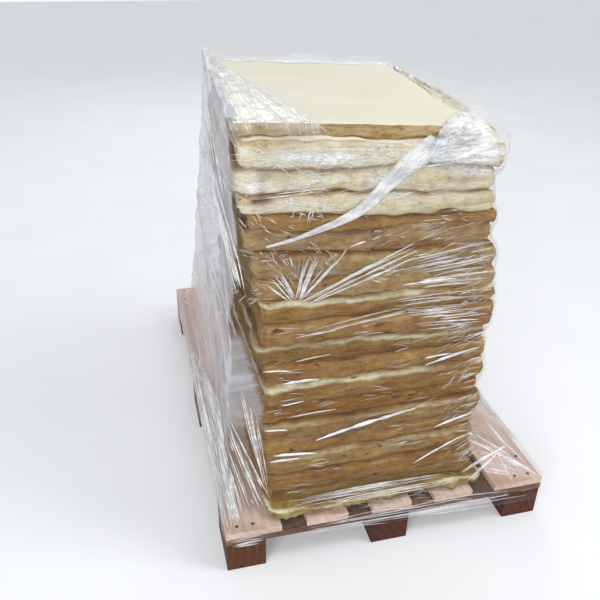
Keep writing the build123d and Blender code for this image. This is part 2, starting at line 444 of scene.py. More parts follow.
def make_slab(number, material):
    """A slab with soft, ragged edges whose beds it shares with its neighbours."""
    name, on_top = f"slab_{number:02d}", number == SLABS
    slab = measure(name)
    half = slab.half
    outline, normal = rounded_rectangle(half[0] - SLAB_EDGE, half[1] - SLAB_EDGE, SLAB_CORNER, SLAB_SPACING)
    scale, out, rise = slab_rings(CROWN_INSETS if on_top else BED_INSETS)
    count, rows = len(outline), len(rise)

    own = np.zeros((rows, count, 3))
    own[..., :2] = outline * scale[..., None] + normal * out[..., None]
    share = (own[..., 0] / half[0] + 1) / 2
    bottom, top = between(*slab.bottoms, share), between(*slab.tops, share)
    own[..., :2] += slab.middle[:2]
    own[..., 2] = (top + bottom) / 2 + rise * (top - bottom) / 2
    points = turned(own, slab.turn)
    ways = turned(np.concatenate([normal, np.zeros((count, 1))], -1), slab.turn)

    side = step(out, 0, SLAB_EDGE * 0.9)
    up = (rise + 1) / 2
    wave = bed_wave(number - 1, points) * (1 - up) + bed_wave(number, points) * up
    gape = 0.005 * np.maximum(0, noise(points, 0.11, 500 + number)) * rise ** 3 * step(out, 0, SLAB_EDGE / 2)
    lip = step(rise, 0.25, 0.8) * step(noise(points, 0.22, 40 + number), -0.5, 0.9)
    rough_foot = (number == 1) * (0.006 * noise(points, 0.045, 91) + 0.0035 * noise(points, 0.014, 92))
    rough_top = 0.0028 * on_top * noise(points, 0.022, 93)
    bulge = sum(high * noise(points / (1, 1, flat), size, seed + number) for high, flat, size, seed in BULGES)
    bulge += 0.0035 * lip * (not on_top) + rough_foot + rough_top
    hollow = hollow_at(points, points[..., 1].min() + 0.008)
    points += ways * (side * (bulge - 0.004 - CAVITY_DEPTH * hollow))[..., None]
    points[..., 2] += wave - gape * (not on_top)

    every = np.concatenate([points.reshape(-1, 3), [points[0].mean(0), points[-1].mean(0)]])
    faces = grid_faces(rows, count, True)[:, ::-1].tolist()
    last = (rows - 1) * count
    faces += [[i, (i + 1) % count, len(every) - 2] for i in range(count)]
    faces += [[last + (i + 1) % count, last + i, len(every) - 1] for i in range(count)]

    with_facing = number >= SLABS - 1
    faced = (side < 0.5) * (rise > 0) * with_facing * np.ones((rows, count))
    # Painted shade in the beds between slabs
    dark = np.where(rise > 0, BED_SHADES[number - 1], BED_SHADES[number - 2] if number > 1 else 0.3)
    blur = step(noise(points / (2, 2, 1), 0.05, 60 + number), -1.6, 1.2)
    # Pale sides: own tone, painted light on the upper slabs, and a painted highlight on the rolled upper lip
    rolled = step(rise, 0.30, 0.62) * step(noise(points, 0.16, 44 + number), -1.4, 0.4)
    face, lip_highlight = FACES[number - 1] * (0.7 + 0.6 * blur), LIP_HIGHLIGHTS[number - 1] * rolled
    cream = side * np.clip(np.maximum(face, lip_highlight), 0, 1)
    # Painted shade in the crevices of the beds and in the cavities
    edge = side * step(1 - out / SLAB_EDGE, 0.30, 0.95) * step(1 - rise, 0, 0.1)
    deep = np.maximum(edge * dark, hollow * side * 0.9)
    wool = mesh_object(f"wool_{number:02d}", every, faces, material, cream=np.append(cream, (0, 0)),
                       deep=np.append(deep, (0, 0)), faced=np.append(faced, (with_facing, 0)))
    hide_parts(name)
    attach(wool, "root")
    return wool


# Film: its mesh, its gap to the wool, and how near the wool has to be for the film to lie on it

NEAR, RIGHT, FAR, LEFT = range(4)
FILM_COLUMNS = (104, 122, 90, 130)
FILM_ROWS = 186
FOLD_ROWS = 12
FILM_LEVELS = np.concatenate([[0.090, 0.110, 0.1215, 0.130, 0.136], np.linspace(0.15, 0.985, 60)])
FILM_GAP = 0.0018
HUG_NEAR, HUG_FAR = 0.040, 0.075
# Rays that find the wool: how far outside the film they start, and how far they reach
RAY_START, RAY_REACH = 0.02, 0.2

# Heights of the hem, and how far it falls towards the right of the near side
HEM = 0.066
NEAR_HEM, NEAR_HEM_FALL = 0.074, 0.028

# How far the film rises past the top, and drops along the bare stretch and at the near right corner
CROWN_RISE = 0.004
BARE_DROP = 0.031
CROWN_DROP = 0.020
# How far under the top slab's foot the film's shelf starts, how far the film is drawn in over it, and how
# far it stays off the wool on the left
SHELF_DROP = 0.010
CROWN_PULL = 0.040
LEFT_CLEAR = 0.006

# Folds that stand up along the top's edges: side, from share, to share, height
CROWN_HUMPS = ((RIGHT, 0.12, 0.42, 0.012), (FAR, 0.42, 0.52, 0.010), (FAR, 0.16, 0.26, 0.010),
               (LEFT, 0.0, 0.08, 0.010))

# A milky patch at the left of the near side, which narrows upwards: its heights, and its widest share
PATCH_FOOT, PATCH_TOP, PATCH_SHARE = 0.43, 0.66, 0.11
# White, crinkled bands of film on the near side: height, half depth, haze
MILKY_BANDS = ((0.970, 0.013, 0.85), (0.926, 0.012, 0.65), (0.884, 0.009, 0.50), (0.945, 0.050, 0.14))

film_side = np.concatenate([np.full(n, side) for side, n in enumerate(FILM_COLUMNS)])
film_share = np.concatenate([np.arange(n) / n for n in FILM_COLUMNS])


def on_side(side, low, high, soft=0.04):
    """1 on the columns between two shares of a side, falling to 0 beside them."""
    place = film_side + film_share
    near = (place - side - (low + high) / 2 + 2) % 4 - 2
    return 1 - step(np.abs(near), (high - low) / 2, (high - low) / 2 + soft)


# The stretch of the near side where no film folds in over the top
BARE_FROM, BARE_TO = 0.35, 0.78
bare = on_side(NEAR, BARE_FROM, BARE_TO, 0.07)


def section(name, z):
    """Points where the edges of a CAD node's mesh cross a height."""
    mesh = nodes[name].data
    points = np.array([v.co for v in mesh.vertices])
    ends = points[np.array([e.vertices for e in mesh.edges])]
    below, above = ends[:, 0], ends[:, 1]
    crossing = (below[:, 2] - z) * (above[:, 2] - z) < 0
    below, above = below[crossing], above[crossing]
    return between(below, above, ((z - below[:, 2]) / (above[:, 2] - below[:, 2]))[:, None])


def film_corners():
    """The CAD film's four corners at each of its levels, from near left anticlockwise."""
    corners = []
    for z in FILM_LEVELS:
        points = section("stretch_film", z)[:, :2]
        reach = [points @ np.array(way) for way in CORNERS]
        corners.append([points[r > r.max() - 0.001].mean(0) for r in reach])
    return np.array(corners)


def tree_of(things):
    """Rays' search tree of the joined meshes of some objects."""
    points, faces, start = [], [], 0
    for thing in things:
        points += [v.co for v in thing.data.vertices]
        faces += [[start + i for i in face.vertices] for face in thing.data.polygons]
        start += len(thing.data.vertices)
    return BVHTree.FromPolygons(points, faces)


def around(values, rows, columns, choose, closed=True):
    """What a function such as np.mean gives of the values within some rows and columns of each place."""
    row, column = (np.arange(count) for count in values.shape[:2])
    down = choose([values[np.clip(row + s, 0, row[-1])] for s in range(-rows, rows + 1)], 0)
    shifts = range(-columns, columns + 1)
    if closed:
        return choose([np.roll(down, s, 1) for s in shifts], 0)
    return choose([down[:, np.clip(column + s, 0, column[-1])] for s in shifts], 0)


def crown_height(points):
    """Height of the top slab's plane at some places."""
    own = turned(points, -crown.turn)
    return between(*crown.tops, ((own[..., 0] - crown.middle[0]) / crown.half[0] + 1) / 2)


def skin_outline(z, corners):
    """The film's outline at each column's own height."""
    at = np.array([[np.interp(z, FILM_LEVELS, corners[:, k, axis]) for axis in (0, 1)] for k in range(4)])
    column = np.arange(len(film_side))
    start, end = (at[side, :, :, column].transpose(2, 0, 1) for side in (film_side, (film_side + 1) % 4))
    return np.concatenate([between(start, end, film_share[:, None]), z[..., None]], -1)


def straight_film():
    """The film drawn straight between the corners of the CAD film, from its hem to the top."""
    corners = film_corners()
    rim = skin_outline(np.full((1, len(film_side)), FILM_LEVELS[-1]), corners)
    top = crown_height(rim)[0] + CROWN_RISE - BARE_DROP * bare
    top = top - CROWN_DROP * on_side(RIGHT, -0.12, 0.12, 0.10)
    low = HEM + 0.006 * noise(rim, 0.3, 21)[0]
    near_hem = NEAR_HEM - NEAR_HEM_FALL * film_share * (film_side == NEAR)
    low = between(low, near_hem, on_side(NEAR, 0.0, 1.0))
    return skin_outline(between(low, top, np.linspace(0, 1, FILM_ROWS)[:, None]), corners)


def drawn_in(points, normals, shelf, slabs):
    """How far each point of the film is drawn in: onto wool that is close, and not at all on the left."""
    search = tree_of(slabs)
    reach = np.full(points.shape[:2], RAY_REACH)
    for i, j in np.ndindex(reach.shape):
        start = Vector(points[i, j] + normals[i, j] * RAY_START)
        hit = search.ray_cast(start, Vector(-normals[i, j]), RAY_REACH)
        if hit[3] is not None:
            reach[i, j] = hit[3] - RAY_START
    last = np.maximum((points[..., 2] < shelf).sum(0) - 1, 0)
    beside = on_side(RIGHT, -0.15, 1.0, 0.05) > 0.5
    over = (np.arange(FILM_ROWS)[:, None] > last) & beside
    least = around(np.where(over, reach[last, np.arange(len(last))], reach), 2, 1, np.min)
    hug = 1 - step(around(least, 3, 3, np.mean), HUG_NEAR, HUG_FAR)
    drawn = around(np.minimum(least, HUG_FAR), 1, 1, np.mean) - FILM_GAP
    straight = on_side(LEFT, -0.95, 1.05, 0.07)
    return drawn * hug * (1 - straight) + np.minimum(drawn - LEFT_CLEAR, 0) * straight


def creased(points, run, size, seed):
    """Straight creases in the plane of Y and Z along a direction, sharp on their ridges."""
    dy, dz = run
    across = points[..., 1] * dz - points[..., 2] * dy
    along = points[..., 1] * dy + points[..., 2] * dz
    return 1 - 2.2 * np.abs(noise(np.stack([across, along * 0.08, across * 0], -1), size, seed))


def rippled(points):
    """How far the film's creases stand out, larger on the left."""
    height = points[..., 2]
    left = on_side(LEFT, 0.02, 0.98) * step(height, 0.14, 0.3)
    ripple = 0.0045 * left * creased(points, (-0.93, -0.36), 0.12, 31)
    ripple += 0.0022 * left * creased(points, (-0.99, -0.10), 0.05, 34)
    ripple += 0.0010 * (1 - left) * noise(points / (2.5, 2.5, 0.7), 0.035, 32)
    return ripple + 0.003 * (1 - step(height, 0.09, 0.16)) * noise(points / (6, 6, 1), 0.03, 33)


def fold_rows(edge, outward):
    """Rows of the film that folds in over the top from its upper edge, except at the bare stretch."""
    spread = (0.020 + 0.007 * noise(edge, 0.12, 41)) * (1 - bare) * (1 - 0.8 * on_side(RIGHT, 0.0, 1.0, 0.1))
    keep = np.maximum(crown.half[:2] - spread[:, None], 0)
    own = turned(edge, -crown.turn) - crown.middle
    own[:, :2] = np.clip(own[:, :2], -keep, keep)
    inner = turned(own + crown.middle, crown.turn)
    hump = (0.006 + 0.006 * np.maximum(0, noise(edge, 0.10, 42))) * (1 - 0.8 * on_side(RIGHT, 0.55, 1.0))
    hump = sum((rise * on_side(side, low, high, 0.10) for side, low, high, rise in CROWN_HUMPS), hump)
    hump = hump * (1 - bare)
    rows = []
    for q in np.linspace(0, 1, FOLD_ROWS + 1)[1:]:
        row = between(edge, inner, q)
        lift = (crown_height(row) + 0.002 - edge[:, 2]) * step(q, 0, 0.8)
        row[:, 2] = edge[:, 2] + np.where(bare > 0.5, 0, lift)
        row[:, 2] += hump * sin(pi * q ** 0.8) + 0.0015 * noise(row, 0.03, 43) * (1 - bare)
        row += outward * (0.005 * sin(pi * q) * (1 - bare))[:, None]
        rows.append(row)
    return np.array(rows)


def film_looks(points):
    """The film's haze, calm and dullness at each point."""
    height = points[..., 2]
    streaks = np.maximum(creased(points, (-0.93, -0.36), 0.05, 53), 0) ** 2
    haze = 0.015 + 0.015 * noise(points / (3, 3, 1), 0.08, 51)
    veil = 0.20 + 0.15 * streaks + (0.30 + 0.22 * streaks) * step(height, 0.22, 0.42)
    haze = haze + on_side(LEFT, 0.04, 0.96, 0.05) * veil
    reach = PATCH_SHARE * np.clip((PATCH_TOP - height) / (PATCH_TOP - PATCH_FOOT), 0, 1)
    patch = on_side(NEAR, -0.04, reach, 0.03) * step(height, PATCH_FOOT - 0.06, PATCH_FOOT + 0.04)
    patch *= 1 - step(height, PATCH_TOP - 0.06, PATCH_TOP)
    haze = haze + (0.42 + 0.25 * streaks) * patch
    milk = sum(level * np.exp(-((height - middle) / deep) ** 2) for middle, deep, level in MILKY_BANDS)
    crumbs = 0.7 + 0.5 * step(noise(points, 0.012, 54), -0.5, 1)
    crumbs = step(noise(points / (4, 4, 1), 0.035, 52), -1.0, 0.9) * crumbs
    haze = haze + milk * on_side(NEAR, 0.06, 1.0, 0.06) * crumbs
    haze = haze + 0.10 * on_side(RIGHT, 0.03, 1.0) * (1 - step(height, 0.13, 0.30))
    haze = haze + (0.08 + 0.12 * streaks) * on_side(RIGHT, 0.04, 1.0) * (1 - 0.7 * step(height, 0.97, 1.0))
    haze = haze + 0.12 * on_side(FAR, 0.0, 1.0)
    haze[FILM_ROWS:] += 0.04
    haze[-2:] += 0.40 * (1 - bare)
    calm = np.maximum(on_side(LEFT, 0.02, 0.98), patch)
    dull = (0.6 * on_side(LEFT, 0.02, 1.0, 0.08) + 0.8 * on_side(RIGHT, -0.02, 0.10)) * np.ones(height.shape)
    dull[FILM_ROWS:] = 0.85
    return np.clip(haze, 0.02, 0.95), calm, dull


def make_film(slabs, material):
    """The wrap: it hugs the slabs where it is close to them and is drawn straight elsewhere."""
    points = straight_film()
    normals = grid_normals(points, True)
    shelf = crown_height(points) - (crown.tops[0] - crown.bottoms[0]) - SHELF_DROP
    points -= normals * drawn_in(points, normals, shelf, slabs)[..., None]
    pull = CROWN_PULL * on_side(RIGHT, 0.14, 1.0, 0.12) * step(points[..., 2], shelf + 0.012, shelf + 0.032)
    points[..., :2] -= pull[..., None] * np.array((cos(crown.turn), sin(crown.turn)))
    normals = grid_normals(points, True)
    points += normals * rippled(points)[..., None]
    points = np.concatenate([points, fold_rows(points[-1], normals[-1])])
    haze, calm, dull = film_looks(points)
    return grid_object("film_wrap", points, True, material, haze=haze, calm=calm, dull=dull), points


# Folds and gathers of the film. Their ends are pixels of the photograph, and rays set them on the film.

# The folds' milky haze is partly the folded film's own and partly painted highlight.
Bundle = namedtuple("Bundle", "starts ends count width ragged")

NEAR_BUNDLES = (
    # Rays that spread from one place at the left
    Bundle(((290, 303), (298, 301)), ((262, 286), (284, 268)), 7, 0.0035, 0.25),
    Bundle(((294, 302), (301, 301)), ((303, 258), (320, 254)), 7, 0.0035, 0.2),
    Bundle(((297, 302), (303, 300)), ((334, 262), (352, 246)), 5, 0.0022, 0.3),
    Bundle(((296, 303), (312, 303)), ((416, 235), (418, 258)), 5, 0.0050, 0.05),
    # Crisp folds in the middle, and fields of them towards the right edge
    Bundle(((292, 258), (300, 300)), ((268, 252), (330, 262)), 12, 0.0016, 0.6),
    Bundle(((400, 262), (404, 290)), ((497, 238), (495, 282)), 22, 0.0032, 0.5),
    Bundle(((385, 300), (410, 332)), ((494, 288), (488, 326)), 16, 0.0026, 0.5),
    Bundle(((462, 335), (452, 470)), ((487, 330), (471, 458)), 26, 0.0022, 0.4),
    Bundle(((300, 333), (296, 341)), ((412, 305), (418, 312)), 4, 0.0022, 0.3),
    # Over the pale upper slabs
    Bundle(((232, 150), (236, 172)), ((420, 146), (424, 160)), 5, 0.0016, 1.4),
    Bundle(((236, 178), (252, 215)), ((330, 172), (340, 200)), 10, 0.0014, 1.2),
    # At the foot of the stack and along the hem
    Bundle(((286, 500), (290, 512)), ((452, 470), (468, 480)), 10, 0.0026, 0.4),
    Bundle(((300, 527), (303, 536)), ((532, 484), (534, 500)), 16, 0.0028, 0.5),
    Bundle(((230, 541), (232, 551)), ((263, 534), (264, 545)), 6, 0.0030, 0.2),
    # Folds that flare to the near right corner of the pallet
    Bundle(((474, 430), (470, 470)), ((520, 462), (536, 478)), 16, 0.0028, 0.4),
    Bundle(((478, 405), (480, 420)), ((500, 447), (534, 470)), 8, 0.0028, 0.3),
)

LEFT_BUNDLES = (
    # Beside the stack
    Bundle(((194, 134), (206, 140)), ((236, 296), (246, 288)), 14, 0.0040, 0.25),
    Bundle(((201, 90), (206, 96)), ((212, 220), (232, 190)), 12, 0.0032, 0.5),
    Bundle(((192, 190), (200, 250)), ((236, 330), (258, 420)), 12, 0.0030, 0.4),
    # Over the deck, and at the stack's foot
    Bundle(((190, 345), (194, 350)), ((227, 530), (272, 502)), 60, 0.0024, 0.6),
    Bundle(((200, 400), (222, 398)), ((226, 528), (266, 498)), 56, 0.0020, 0.8),
    Bundle(((215, 421), (219, 424)), ((232, 525), (252, 510)), 18, 0.0022, 0.4),
    Bundle(((178, 300), (182, 298)), ((224, 536), (229, 534)), 12, 0.0026, 0.5),
    Bundle(((236, 380), (258, 420)), ((262, 480), (270, 500)), 10, 0.0024, 0.5),
)

# Short glints of crinkled film: pixel box, number of little groups, tilts in degrees, lengths in pixels
# The glints are painted highlights: milky white ribbons on the film.
Glints = namedtuple("Glints", "low high groups tilt length")
GLINTS = (
    Glints((232, 143), (436, 166), 26, (-40, 40), (3, 11)),
    Glints((238, 168), (498, 214), 30, (-40, 35), (3, 12)),
    Glints((242, 216), (340, 296), 18, (-75, 60), (3, 12)),
    Glints((340, 216), (420, 290), 6, (-30, 10), (4, 14)),
    Glints((425, 216), (490, 330), 26, (-26, -4), (5, 24)),
    Glints((268, 300), (476, 480), 22, (-18, 2), (5, 22)),
    Glints((450, 335), (480, 465), 14, (-55, -12), (5, 18)),
    Glints((270, 482), (466, 508), 9, (-16, 4), (7, 26)),
)
GLINTS_IN_GROUP = 6

# Single bright folds of the near side, their brightness a painted highlight: from pixel, to pixel, width
STREAKS = (
    ((403, 285), (456, 278), 0.006), ((439, 322), (479, 319), 0.004), ((295, 338), (336, 330), 0.003),
    ((295, 362), (331, 354), 0.003), ((263, 372), (292, 371), 0.004), ((283, 384), (319, 379), 0.006),
    ((282, 406), (304, 401), 0.003), ((287, 418), (336, 409), 0.003), ((265, 431), (288, 430), 0.005),
    ((316, 440), (416, 408), 0.009), ((434, 427), (475, 411), 0.007), ((425, 365), (479, 347), 0.007),
    ((413, 463), (465, 434), 0.005), ((274, 456), (316, 453), 0.008), ((425, 358), (452, 353), 0.004),
    ((350, 247), (366, 241), 0.004), ((420, 167), (454, 163), 0.004), ((270, 462), (300, 458), 0.006),
    ((497, 453), (536, 474), 0.007), ((499, 455), (522, 470), 0.004), ((462, 472), (505, 446), 0.008),
    ((470, 440), (499, 455), 0.006), ((480, 404), (497, 450), 0.005), ((497, 453), (468, 480), 0.006),
    ((497, 453), (512, 480), 0.004), ((484, 420), (506, 446), 0.004),
)

# Folds of the sides that the photograph doesn't show: first column, last column, number
HIDDEN_START, HIDDEN_FAR, HIDDEN_LEFT = np.cumsum(FILM_COLUMNS[:3])
HIDDEN_FOLDS = ((HIDDEN_START, HIDDEN_FAR, 60), (HIDDEN_FAR, HIDDEN_LEFT, 52),
                (HIDDEN_LEFT, HIDDEN_LEFT + 66, 34))

# Five points across a fold: share of its width, and height as a share of its width
FOLD_PROFILE = ((-0.5, -0.10), (-0.28, 0.28), (0.02, 0.42), (0.25, 0.20), (0.5, -0.10))


def film_hit(pixel):
    """Place and outward normal of the film where the camera sees a pixel, or None beside it."""
    at, normal, _, _ = film_tree.ray_cast(CAMERA_AT, pixel_ray(*pixel))
    if at is None:
        return None
    return np.array(at), np.array(normal if normal.dot(CAMERA_AT - at) > 0 else -normal)


def pixel_path(start, end, bow=0.0):
    """Places and normals on the film along a straight or slightly bowed line of the photograph."""
    start, end = np.array(start, float), np.array(end, float)
    side = np.array((end[1] - start[1], start[0] - end[0])) * bow
    hits = []
    for t in np.linspace(0, 1, max(7, int(np.linalg.norm(end - start) / 3))):
        hit = film_hit(between(start, end, t) + side * sin(pi * t))
        if hit is not None and (not hits or np.linalg.norm(hit[0] - hits[-1][0]) < 0.08):
            hits.append(hit)
    return hits


def skin_path(low, high):
    """Places and normals along a line of the film's grid, from one (column, row) to another."""
    (c0, r0), (c1, r1) = low, high
    hits = []
    for t in np.linspace(0, 1, max(8, int(max(abs(c1 - c0), abs(r1 - r0)) / 1.5))):
        column = int(round(between(c0, c1, t))) % film_points.shape[1]
        row = int(np.clip(round(between(r0, r1, t)), 0, FILM_ROWS - 1))
        hits.append((film_points[row, column], skin_normals[row, column]))
    return hits


def ribbon(hits, width, seed):
    """A narrow ridge of gathered film along a path, thin at both ends, or None on a short path."""
    if len(hits) < 5:
        return None
    path, normals = (np.array(column) for column in zip(*hits))
    for _ in range(2):
        path[1:-1] = (path[:-2] + path[1:-1] * 2 + path[2:]) / 4
        normals[1:-1] = normals[:-2] + normals[1:-1] * 2 + normals[2:]
    normals = unit(normals)
    across = unit(np.cross(np.gradient(path, axis=0), normals))
    share = np.linspace(0.02, 0.98, len(path))
    body = np.sin(pi * share) ** 0.6 * (1 + 0.4 * noise(path, 0.03, seed))
    body = np.maximum(body, 0.08)[:, None] * width
    return np.stack([path + across * body * a + normals * (body * b + 0.0008) for a, b in FOLD_PROFILE], 1)


def joined(name, grids, material, haze):
    """One mesh of many grids of points, whose haze is one number or one for each grid."""
    grids = [grid for grid in grids if grid is not None]
    faces, start = [], 0
    for grid in grids:
        rows, columns = grid.shape[:2]
        faces.append(grid_faces(rows, columns, False) + start)
        start += rows * columns
    points = [grid.reshape(-1, 3) for grid in grids]
    levels = np.repeat(np.broadcast_to(haze, len(grids)), [len(p) for p in points])
    return mesh_object(name, np.concatenate(points), np.concatenate(faces), material, haze=levels)


def bundle_ribbons(bundle, rng):
    """Folds from one line to another, with uneven spacing, length and width."""
    starts, ends = np.array(bundle.starts, float), np.array(bundle.ends, float)
    for i in range(bundle.count):
        t = (i + rng.uniform(0.1, 0.9)) / bundle.count
        start = between(*starts, t)
        end = between(*ends, np.clip(t + rng.normal(0, 0.05), 0, 1))
        trim = rng.uniform(0, bundle.ragged, 2)
        middle = rng.uniform(0, 1)
        low, high = trim[0] * middle * 1.6, 1 - trim[1] * (1 - middle) * 1.6
        hits = pixel_path(between(start, end, low), between(start, end, high), rng.normal(0, 0.012))
        yield ribbon(hits, bundle.width * rng.uniform(0.5, 1.3), int(rng.integers(1000)))


def glint_ribbons(rng):
    """Little groups of short, nearly parallel folds, painted milky white as highlights."""
    for field in GLINTS:
        for _ in range(field.groups):
            centre, tilt = rng.uniform(field.low, field.high), rng.uniform(*field.tilt)
            for _ in range(GLINTS_IN_GROUP):
                at = centre + rng.normal(size=2) * (8, 4)
                turn = radians(tilt + rng.normal(0, 7))
                half = rng.uniform(*field.length) / 2 * np.array((cos(turn), sin(turn)))
                hits = pixel_path(at - half, at + half, rng.normal(0, 0.04))
                yield ribbon(hits, rng.uniform(0.0005, 0.0013), int(rng.integers(1000)))


def hidden_ribbons(rng):
    """Slanting folds, long ones with short ones between."""
    for first, last, count in HIDDEN_FOLDS:
        for _ in range(count):
            column = rng.uniform(first + 3, last - 12)
            row = rng.uniform(4, FILM_ROWS - 20)
            run = rng.uniform(10, 45)
            slope = rng.choice((0.25, 0.9, -0.5)) * rng.uniform(0.6, 1.3)
            stop = min(column + run, last - 2)
            hits = skin_path((column, row), (stop, row + slope * (stop - column)))
            yield ribbon(hits, rng.uniform(0.0020, 0.0048), int(rng.integers(1000)))


# Sheets of film on the top: a fan from the far left corner, and a gathered corner with a rope of film

FAN_REACH = 0.335
FAN_HANG = 0.044
FAN_OVERHANG = 0.16
FAN_SIZE = (80, 300)
FAN_FOLDS = 44

GATHER_OUTER = ((461, 112), (469, 113), (477, 116), (486, 122), (494, 131), (499, 148), (500, 166))
GATHER_INNER = ((444, 126), (441, 129), (437, 134), (432, 141), (428, 148), (426, 155), (432, 164))
GATHER_SIZE = (80, 100)
# Ridges of the gathered corner: how many along it and across it, seed, height, share of the haze
GATHER_RIDGES = ((13, 0.8, 71, 0.0045, 1.0), (24, 5, 72, 0.0035, 0.8), (40, 16, 76, 0.002, 0.5))

ROPE_PIXELS = ((438, 141), (431, 147), (421, 155), (404, 168), (384, 188), (360, 211), (334, 224), (308, 234),
               (286, 242), (266, 247))
ROPE_HALF_WIDTHS = (0.018, 0.021, 0.0200, 0.0165, 0.0125, 0.0095, 0.0070, 0.0050, 0.0036, 0.0020)
ROPE_STRANDS = 22
ROPE_STATIONS = 110
STRAND_PROFILE = ((-0.5, 0), (-0.28, 0.7), (0, 1), (0.28, 0.7), (0.5, 0))

TUFT_ROWS = 9
TUFT_BEFORE, TUFT_AFTER = 9, 12


def on_crown(across, along):
    """A place on the top slab's upper face, by its shares from the left and from the near side."""
    own = np.zeros(np.broadcast(across, along).shape + (3,))
    own[..., 0] = crown.middle[0] + crown.half[0] * (2 * across - 1)
    own[..., 1] = crown.middle[1] + crown.half[1] * (2 * along - 1)
    place = turned(own, crown.turn)
    place[..., 2] = crown_height(place)
    return place


def make_fan(material):
    """The sheet drawn from the far left corner over the near edge, with folds that spread like a fan."""
    rows, columns = FAN_SIZE
    u = np.linspace(0, 1 + FAN_OVERHANG, rows)[:, None]
    v = np.linspace(0, 1, columns)[None, :]
    flat = np.minimum(u, 1)
    across = (0.004 + 0.035 * v) * (1 - flat) + FAN_REACH * v * flat
    points = on_crown(across, (1.0 - 0.03 * v) * (1 - flat))
    rng = np.random.default_rng(61)
    fold = np.zeros((rows, columns))
    for place in (np.arange(FAN_FOLDS) + rng.uniform(0, 1, FAN_FOLDS)) / FAN_FOLDS:
        start, stop = rng.uniform(-0.3, 0.45), rng.uniform(0.7, 1.5)
        length = step(u, start, start + 0.15) * (1 - step(u, stop - 0.2, stop))
        line = np.exp(-((v - place - 0.004 * np.sin(9 * u + 40 * place)) / rng.uniform(0.0022, 0.0085)) ** 2)
        fold = np.maximum(fold, rng.uniform(0.25, 1) * (0.6 + 0.4 * place) * length * line)
    over = np.maximum(u - 1, 0) / FAN_OVERHANG
    lift = 0.0025 + 0.0045 * fold * (0.3 + 0.7 * flat) + 0.0020 * noise(points, 0.05, 61) * step(flat, 0, 0.3)
    points[..., 2] += np.maximum(lift, 0.001) * (1 - step(over, 0, 0.25))
    out = np.array((sin(crown.turn), -cos(crown.turn), 0))
    points += out * ((0.007 + 0.003 * fold) * step(over, 0, 0.12))[..., None]
    hang = FAN_HANG * (0.75 + 0.45 * noise(np.stack([v * 6, v * 0, v * 0], -1), 1.0, 62)) * (1 - 0.4 * v ** 4)
    points[..., 2] -= hang * over
    points[..., 0] += 0.014 * over
    clear = 0.20 + 0.25 * (1 - step(flat, 0.1, 0.7)) + 0.10 * step(v, 0.35, 0.6)
    clear = clear + 0.10 * noise(points, 0.03, 63)
    haze = clear * (1 - 0.9 * step(over, 0.0, 0.4)) + 0.75 * fold * (1 - 0.3 * step(over, 0.3, 1.0))
    return grid_object("film_fan", points, False, material, haze=np.clip(haze, 0.04, 0.92))


def spaced(corners, count):
    """Points spread evenly by index along a line through some corners."""
    corners = np.array(corners, float)
    place = np.linspace(0, len(corners) - 1, count)
    return np.stack([np.interp(place, np.arange(len(corners)), corners[:, k]) for k in (0, 1)], -1)


def make_gather(material):
    """The crumpled corner of film over the near right corner of the top."""
    rows, columns = GATHER_SIZE
    inner, outer = spaced(GATHER_INNER, columns), spaced(GATHER_OUTER, columns)
    points = np.zeros((rows, columns, 3))
    for j in range(columns):
        reach = None
        for i in range(rows):
            ray = pixel_ray(*(inner[j] + (outer[j] - inner[j]) * i / (rows - 1)))
            hit = film_tree.ray_cast(CAMERA_AT, ray)
            if hit[3] is not None and (reach is None or hit[3] < reach + 0.04):
                reach = hit[3]
            points[i, j] = CAMERA_AT + ray * ((reach or 1.9) - 0.004)
    points = around(points, 2, 2, np.mean, closed=False)
    normals = grid_normals(points, False)
    normals *= np.sign((normals * (np.array(CAMERA_AT) - points)).sum(-1, keepdims=True))
    u = np.linspace(0, 1, rows)[:, None]
    v = np.linspace(0, 1, columns)[None, :]
    lift, lines = 0, 0
    for along, across, seed, height, share in GATHER_RIDGES:
        place = np.stack(np.broadcast_arrays(v * along, u * across, 0.0), -1)
        ridge = 1 - np.minimum(np.abs(noise(place, 1.0, seed)), 1)
        lift = lift + height * ridge
        lines = lines + share * ridge ** 3
    body = np.sin(pi * np.clip(u, 0.02, 0.98)) ** 0.5 * (1 - 0.6 * step(u, 0.6, 1))
    points += normals * (lift * body + 0.001)[..., None]
    fade = step(v, 0, 0.04) * (1 - step(v, 0.86, 1.0)) * (1 - 0.5 * step(u, 0.8, 1.0))
    haze = (0.55 + 0.40 * lines + 0.12 * noise(points, 0.012, 73)) * (0.10 + 0.90 * fade)
    return grid_object("film_gather", points, False, material, haze=np.clip(haze, 0.04, 0.92))


